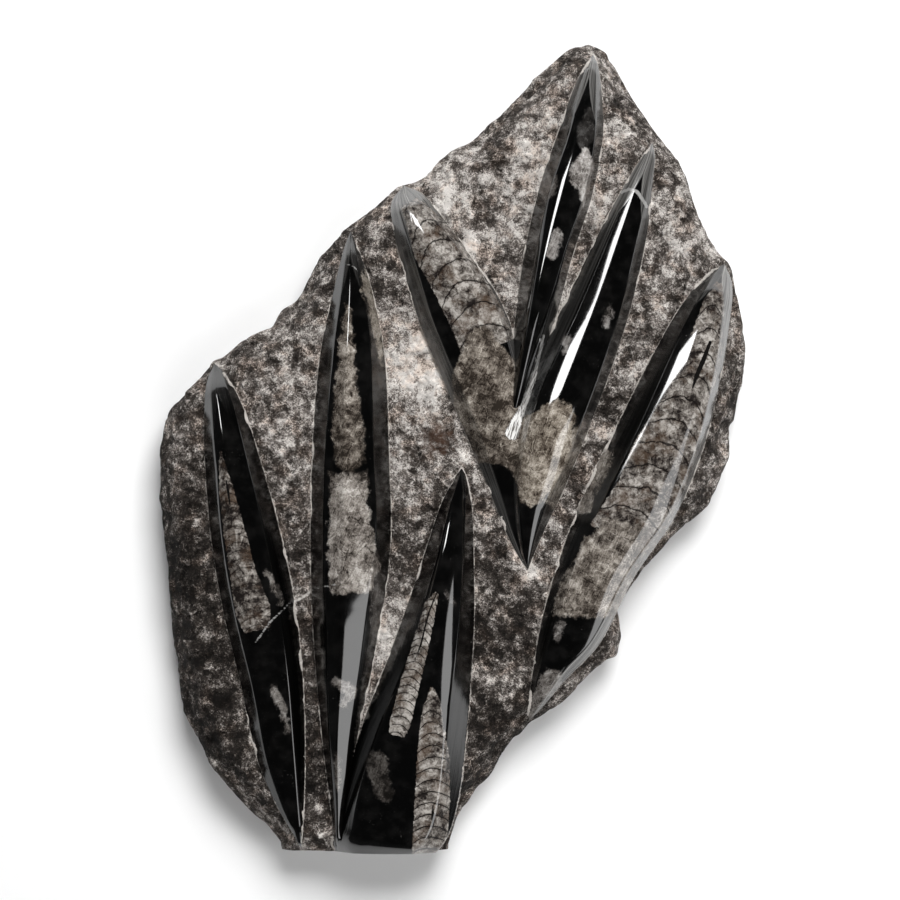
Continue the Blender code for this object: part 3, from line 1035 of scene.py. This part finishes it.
def matrix_material():
    s = Shading("chiselled_limestone")
    swayed = s.vector("ADD", s.place, s.spread(4.0, (40, 0, 0), 3.5))
    clouds = s.noise(16, detail=3, roughness=0.6)
    bruises = s.noise(5.0, detail=7, roughness=0.7, place=swayed)

    def thin_crests(size, detail, roughness, shift, width):
        bites = s.noise(size, detail=detail, roughness=roughness, place=swayed, shift=shift)
        return s.inverse(s.step(s.size_of(s.around_zero(bites)), 0.004, width))

    # Thin bruised crests between the chisel's bites, broken along their length.
    crests = s.math(
        "MAXIMUM",
        thin_crests(5.2, 5, 0.62, (31, 0, 0), 0.04),
        thin_crests(2.6, 4, 0.6, (0, 47, 0), 0.05),
    )
    crests = s.times(crests, s.step(bruises, 0.44, 0.58))
    # The chisel's strokes: short pale lines in two directions that give way to each other.
    rising = s.noise(1.0, detail=2, roughness=0.5, place=s.turned(52, 6.0, 1.1))
    falling = s.noise(1.0, detail=2, roughness=0.5, place=s.turned(-38, 6.0, 1.1))
    direction = s.step(s.noise(14, detail=1, shift=(0, 60, 0)), 0.44, 0.56)
    strokes = s.step(s.mix(direction, rising, falling, "FLOAT"), 0.58, 0.7)
    speckle = s.noise(0.75, detail=3, roughness=0.72)
    # Flakes that the chisel split off, each with its own sharp-edged scar.
    flake, other_flake, _ = s.parts(s.cells(4.6, swayed))
    scars = s.less(s.step(flake, 0.72, 0.76), s.step(other_flake, 0.72, 0.76))
    pale = s.summed(
        0.5,
        (s.around_zero(bruises), 1.15),
        (scars, 0.1),
        (s.around_zero(clouds), 0.9),
        # Tone with painted shade, darker towards the left and the bottom.
        (s.attribute("tone_and_painted_light"), 0.24),
        (strokes, 0.16),
        (crests, 0.28),
        (s.around_zero(speckle), 1.45),
        # Chisel relief: raised marks paler as real bruising, pits darker as painted shade.
        (s.attribute("relief"), 0.08),
    )
    colour = s.ramp(
        pale,
        [
            (0.10, (0.0065, 0.0056, 0.005)),
            (0.32, (0.020, 0.0168, 0.0145)),
            (0.50, (0.050, 0.0425, 0.0372)),
            (0.62, (0.120, 0.104, 0.094)),
            (0.75, (0.27, 0.243, 0.222)),
            (0.88, (0.45, 0.415, 0.385)),
            (1.0, (0.76, 0.72, 0.68)),
        ],
    )
    # Warmer patches in the stone.
    warm = s.step(s.noise(9, detail=4, shift=(12, 0, 5)), 0.48, 0.66)
    warmed = s.vector("MULTIPLY", colour, (1.08, 0.96, 0.88))
    colour = s.mix(s.times(warm, 0.7), colour, warmed)
    # The rust stain, with the stone's own grain in it.
    rust = s.times(s.noise(3.0, detail=4), 1.4, plus=s.add(s.attribute("rust"), -1.2))
    colour = s.mix(s.times(s.step(rust, 0.0, 0.5), 0.7), colour, (0.062, 0.033, 0.021, 1))
    # A thin broken line of bruised stone along the foot of each ridge.
    ragged = s.summed(
        s.times(s.attribute("ground_gap"), -1.5),
        (s.noise(1.4, detail=3, roughness=0.65), 2.4),
        (s.around_zero(s.noise(7, detail=3, shift=(33, 0, 0))), 3.2),
    )
    ground = s.step(ragged, 0.75, 1.2)
    colour = s.mix(s.times(ground, 0.8), colour, (0.6, 0.56, 0.52, 1))
    vein = s.times(s.noise(2.0, detail=3), 1.6, plus=s.add(s.attribute("vein_inside"), -0.8))
    colour = s.mix(s.step(vein, -0.15, 0.4), colour, (0.55, 0.52, 0.49, 1))
    normal = s.bump(s.summed(bruises, (crests, 0.3), (speckle, 0.35)), 1.2)
    return s.finish(colour, 0.85, normal, Specular_IOR_Level=0.2)


def polished_material():
    s = Shading("polished_limestone")
    along, _, across = s.parts(s.attribute("ridge_place", "Vector"))
    wall = s.step(s.attribute("wall_gap"), -0.25, 0.3)
    # The black limestone, with faint clouds and pale crumbs of shell.
    clouds = s.noise(9, detail=4)
    crumbs = s.step(s.noise(1.1, detail=3, roughness=0.6), 0.64, 0.76)
    crumbs = s.times(crumbs, s.step(s.noise(12, detail=2, shift=(5, 70, 0)), 0.5, 0.7))
    colour = s.mix(s.step(clouds, 0.4, 0.8), (0.001, 0.001, 0.001, 1), (0.0065, 0.0062, 0.006, 1))
    colour = s.mix(s.times(crumbs, 0.4), colour, (0.2, 0.19, 0.18, 1))

    # Hairline fractures through all the calcite, some bright and some dark.
    fractured = s.vector("ADD", s.place, s.spread(3.0, (8, 0, 0), 2.0))
    edges = s.cells(6.5, fractured, feature="DISTANCE_TO_EDGE", output="Distance")
    bright = s.step(s.noise(5, detail=2, shift=(0, 12, 7)), 0.42, 0.58)
    fractures = s.times(s.inverse(s.step(edges, 0.0, 0.035)), s.around_zero(bright))
    splinters = s.noise(1.0, detail=3, roughness=0.6, place=s.turned(38, 3.6, 0.32))
    splinters = s.step(splinters, 0.6, 0.72)

    # The shells: grey-brown calcite, crossed by thin chamber walls that bow towards the tip.
    edge_noise = s.noise(2.4, detail=4, roughness=0.6)
    shell = s.times(edge_noise, 2.4, plus=s.add(s.attribute("shell_inside"), -1.2))
    shell = s.step(shell, -0.12, 0.25)
    chambers, aslant, spacing = s.parts(s.attribute("shell_place", "Vector"))
    bow = s.times(s.math("POWER", s.size_of(aslant), 2.0), 0.6)
    waver = s.times(s.around_zero(s.noise(7, detail=3)), 0.45)
    phase = s.add(s.less(chambers, bow), waver)
    from_wall = s.times(s.math("PINGPONG", phase, 0.5), spacing)
    # Widely spaced walls are thicker.
    walls = s.inverse(s.step(s.times(spacing, -0.022, plus=from_wall), 0.05, 0.26))
    walls = s.times(walls, s.attribute("shell_walls"))
    walls = s.times(walls, s.step(s.noise(4, detail=2, shift=(9, 9, 0)), 0.22, 0.38))
    mottle = s.summed(
        s.noise(2.8, detail=6, roughness=0.7, distortion=0.4),
        (s.around_zero(s.noise(0.9, detail=2)), 0.35),
        (s.inverse(s.step(from_wall, 0.1, 1.5)), -0.05),
        (s.around_zero(s.noise(8, detail=3, roughness=0.6, shift=(3, 44, 0))), 1.0),
        (fractures, 0.3),
        (splinters, 0.07),
    )
    mottle = s.add(mottle, s.attribute("shell_shade"))
    calcite = s.ramp(
        mottle,
        [
            (0.28, (0.015, 0.012, 0.011)),
            (0.40, (0.075, 0.065, 0.057)),
            (0.52, (0.19, 0.172, 0.155)),
            (0.68, (0.42, 0.395, 0.365)),
        ],
    )
    brown = s.step(s.noise(10, detail=4, roughness=0.6, shift=(70, 0, 0)), 0.46, 0.68)
    calcite = s.mix(s.times(brown, 0.55), calcite, (0.085, 0.055, 0.036, 1))
    calcite = s.mix(s.times(walls, 0.95), calcite, (0.006, 0.005, 0.0045, 1))
    colour = s.mix(shell, colour, calcite)

    # Patches of spar.
    warmth, strength, lightness = s.parts(s.attribute("spar_look", "Vector"))
    spar = s.noise(5.0, detail=6, roughness=0.68, shift=(20, 5, 0))
    spar = s.times(spar, 9.0, plus=s.add(s.attribute("spar_inside"), -4.2))
    spar = s.times(s.step(spar, -0.3, 1.6), strength)
    # Its crystals: each grain of its own shade, with clouds and cleavage lines over them.
    grain, _, _ = s.parts(s.cells(3.2, fractured))
    veins = s.summed(
        s.noise(6.0, detail=8, roughness=0.74, shift=(0, 30, 0)),
        (s.around_zero(grain), 0.09),
        (s.around_zero(s.noise(1.0, detail=3, place=s.turned(65, 5.0, 0.6))), 0.4),
        (s.around_zero(s.noise(1.0, detail=3, place=s.turned(-18, 4.0, 0.6))), 0.3),
        (s.around_zero(s.noise(13, detail=3, shift=(0, 0, 20))), 0.7),
        (fractures, 0.34),
        (splinters, 0.1),
    )
    veins = s.add(veins, lightness)
    grey = s.ramp(
        veins,
        [
            (0.30, (0.02, 0.018, 0.016)),
            (0.43, (0.10, 0.09, 0.083)),
            (0.55, (0.22, 0.202, 0.19)),
            (0.70, (0.42, 0.4, 0.38)),
            (0.90, (0.7, 0.68, 0.66)),
        ],
    )
    cream = s.ramp(
        veins,
        [
            (0.28, (0.028, 0.02, 0.014)),
            (0.42, (0.11, 0.086, 0.064)),
            (0.54, (0.27, 0.23, 0.18)),
            (0.70, (0.54, 0.48, 0.4)),
            (0.90, (0.78, 0.73, 0.65)),
        ],
    )
    spar_colour = s.mix(s.math("MAXIMUM", warmth, 0.0), grey, cream)
    # Painted highlight: where warmth is below 0 the spar becomes white rays.
    painted_highlight_mask = s.step(s.times(warmth, -1.0), 0.2, 0.8)
    highlight_rays = s.noise(1.0, detail=3, place=s.turned(73, 9.0, 0.7))
    painted_highlight_colour = s.ramp(highlight_rays, [(0.42, (0.12, 0.11, 0.1)), (0.53, (0.85, 0.84, 0.82))])
    spar_colour = s.mix(painted_highlight_mask, spar_colour, painted_highlight_colour)
    colour = s.mix(spar, colour, spar_colour)

    siphuncle = s.add(s.attribute("siphuncle_inside"), -0.25)
    siphuncle = s.times(s.noise(1.2, detail=2), 0.5, plus=siphuncle)
    colour = s.mix(s.step(siphuncle, -0.1, 0.15), colour, (0.006, 0.0055, 0.005, 1))
    vein = s.times(s.noise(2.0, detail=3), 1.6, plus=s.add(s.attribute("vein_inside"), -0.95))
    vein = s.step(vein, -0.15, 0.4)
    colour = s.mix(s.times(vein, 0.8), colour, (0.36, 0.355, 0.345, 1))

    # The walls are only ground too, with marks along the ridge and a light line under the
    # crease.
    lengthwise = s.joined(s.times(along, 0.02), s.times(across, 16.0), 0)
    streaks = s.noise(1.0, detail=3, place=lengthwise)
    broad = s.joined(s.times(along, 0.012), s.times(across, 7.0), 4)
    bands = s.noise(1.0, detail=2, place=broad)
    wander = s.times(s.noise(25, detail=2), 0.8, plus=s.attribute("wall_gap"))
    line = s.inverse(s.step(s.size_of(s.less(wander, 0.9)), 0.05, 0.4))
    marks = s.summed(
        0.3, (s.step(streaks, 0.35, 0.7), 1.0), (s.step(bands, 0.4, 0.65), 0.9), (line, 0.9)
    )
    # The walls' tone, with painted sheen: lighter on some ridges and sides, and paler down from
    # the tips.
    tone_and_painted_light = s.add(s.attribute("wall_tone_and_sheen"), s.attribute("tip_sheen_tone"))
    wall_colour = s.vector("SCALE", (1.0, 0.97, 0.93), scale=s.times(marks, tone_and_painted_light))
    stained = s.math("MAXIMUM", s.math("MAXIMUM", spar, shell), vein)
    painted = s.times(stained, -0.8, plus=0.95)
    colour = s.mix(s.times(wall, painted), colour, wall_colour)
    chipped = s.times(s.noise(1.5, detail=2), 0.06, plus=s.size_of(across))
    colour = s.mix(s.step(chipped, 1.012, 1.035), colour, (0.36, 0.33, 0.3, 1))
    polish = s.times(s.noise(1.3, detail=3), 0.05, plus=0.045)
    roughness = s.mix(wall, polish, s.times(streaks, 0.18, plus=0.07), "FLOAT")
    return s.finish(colour, roughness, s.bump(s.times(streaks, wall), 0.05), IOR=1.8)


def sawn_material():
    s = Shading("sawn_limestone")
    x, y, z = s.parts(s.place)
    drawn_out = s.joined(s.times(x, 0.03), s.times(y, 0.5), s.times(z, 0.5))
    saw_marks = s.noise(1.0, detail=3, place=drawn_out)
    blotches = s.noise(14, detail=5, roughness=0.6)
    colour = s.mix(s.step(blotches, 0.35, 0.7), (0.03, 0.028, 0.026, 1), (0.11, 0.1, 0.092, 1))
    colour = s.mix(s.times(s.step(saw_marks, 0.45, 0.7), 0.4), colour, (0.19, 0.18, 0.17, 1))
    return s.finish(colour, s.times(saw_marks, 0.2, plus=0.5), s.bump(saw_marks, 0.12))


# ---- stage, light and camera
CAMERA_LENS = 135.0
FRAME_WIDTH = 450.0
FRAME_CENTRE = (-1.5, -1.5)


def stage():
    bpy.ops.mesh.primitive_plane_add(size=12, location=(0, 0, 0))
    floor = bpy.context.object
    floor.name = "floor"
    material = bpy.data.materials.new("floor")
    material.use_nodes = True
    shader = material.node_tree.nodes["Principled BSDF"]
    shader.inputs["Base Color"].default_value = (0.9, 0.9, 0.9, 1)
    shader.inputs["Roughness"].default_value = 0.9
    shader.inputs["Specular IOR Level"].default_value = 0.1
    floor.data.materials.append(material)


def softbox(name, tilt, reach, radiance, distance, turn=0.0, in_gloss=True, in_dull=True):
    """An area light that looks at the stone. Its tilt from straight above and how far it
    reaches to either side are degrees towards +X and towards +Y. It may be left out of what
    polished surfaces mirror, or out of what lights dull ones."""
    slope_x, slope_y = (math.tan(math.radians(angle)) for angle in tilt)
    towards = Vector((slope_x, slope_y, 1)).normalized()
    light = bpy.data.lights.new(name, "AREA")
    light.shape = "RECTANGLE"
    light.size, light.size_y = (2 * distance * math.tan(math.radians(angle)) for angle in reach)
    light.energy = radiance * math.pi * light.size * light.size_y
    lamp = bpy.data.objects.new(name, light)
    bpy.context.scene.collection.objects.link(lamp)
    lamp.location = towards * distance
    sideways = Vector((0, 1, 0)).cross(towards).normalized()
    upwards = towards.cross(sideways)
    facing = Matrix((sideways, upwards, towards)).transposed()
    lamp.rotation_mode = "QUATERNION"
    turned = facing @ Matrix.Rotation(math.radians(turn), 3, "Z")
    lamp.rotation_quaternion = turned.to_quaternion()
    lamp.visible_glossy = in_gloss
    lamp.visible_diffuse = in_dull


def lights():
    world = bpy.data.worlds.new("studio")
    bpy.context.scene.world = world
    world.use_nodes = True
    tree = world.node_tree
    place = tree.nodes.new("ShaderNodeTexCoord")
    split = tree.nodes.new("ShaderNodeSeparateXYZ")
    tree.links.new(place.outputs["Generated"], split.inputs[0])
    ramp = tree.nodes.new("ShaderNodeValToRGB")
    tree.links.new(split.outputs["Z"], ramp.inputs["Fac"])
    for element, (height, grey) in zip(ramp.color_ramp.elements, [(0.0, 0.035), (0.55, 0.013)]):
        element.position = height
        element.color = (grey, grey, grey, 1)
    tree.links.new(ramp.outputs["Color"], tree.nodes["Background"].inputs["Color"])
    softbox("key", (-31, 29), (12, 6.6), 14, 2.0, turn=6, in_dull=False)
    softbox("low_right", (51.5, -44.5), (8, 21), 2.6, 0.7, turn=25)
    softbox("above", (12, 37), (16, 16), 13.3, 2.2, in_gloss=False)
    softbox("fill", (15, -42), (20, 20), 2.2, 2.0, in_gloss=False)
    bpy.context.scene.view_settings.view_transform = "Standard"


def camera():
    data = bpy.data.cameras.new("camera")
    data.lens = CAMERA_LENS
    eye = bpy.data.objects.new("camera", data)
    bpy.context.scene.collection.objects.link(eye)
    distance = FRAME_WIDTH * CAMERA_LENS / data.sensor_width
    x, y = FRAME_CENTRE
    eye.location = Vector((x, y, FRONT_LEVEL + distance)) * MM
    bpy.context.scene.camera = eye


camera()
lights()
stage()
polished = polished_material()
sawn = sawn_material()
ridges = [Ridge(name) for name in SPINDLES]
for ridge in ridges:
    ridge_piece(ridge, polished, sawn)
rough_matrix(ridges, matrix_material(), sawn)
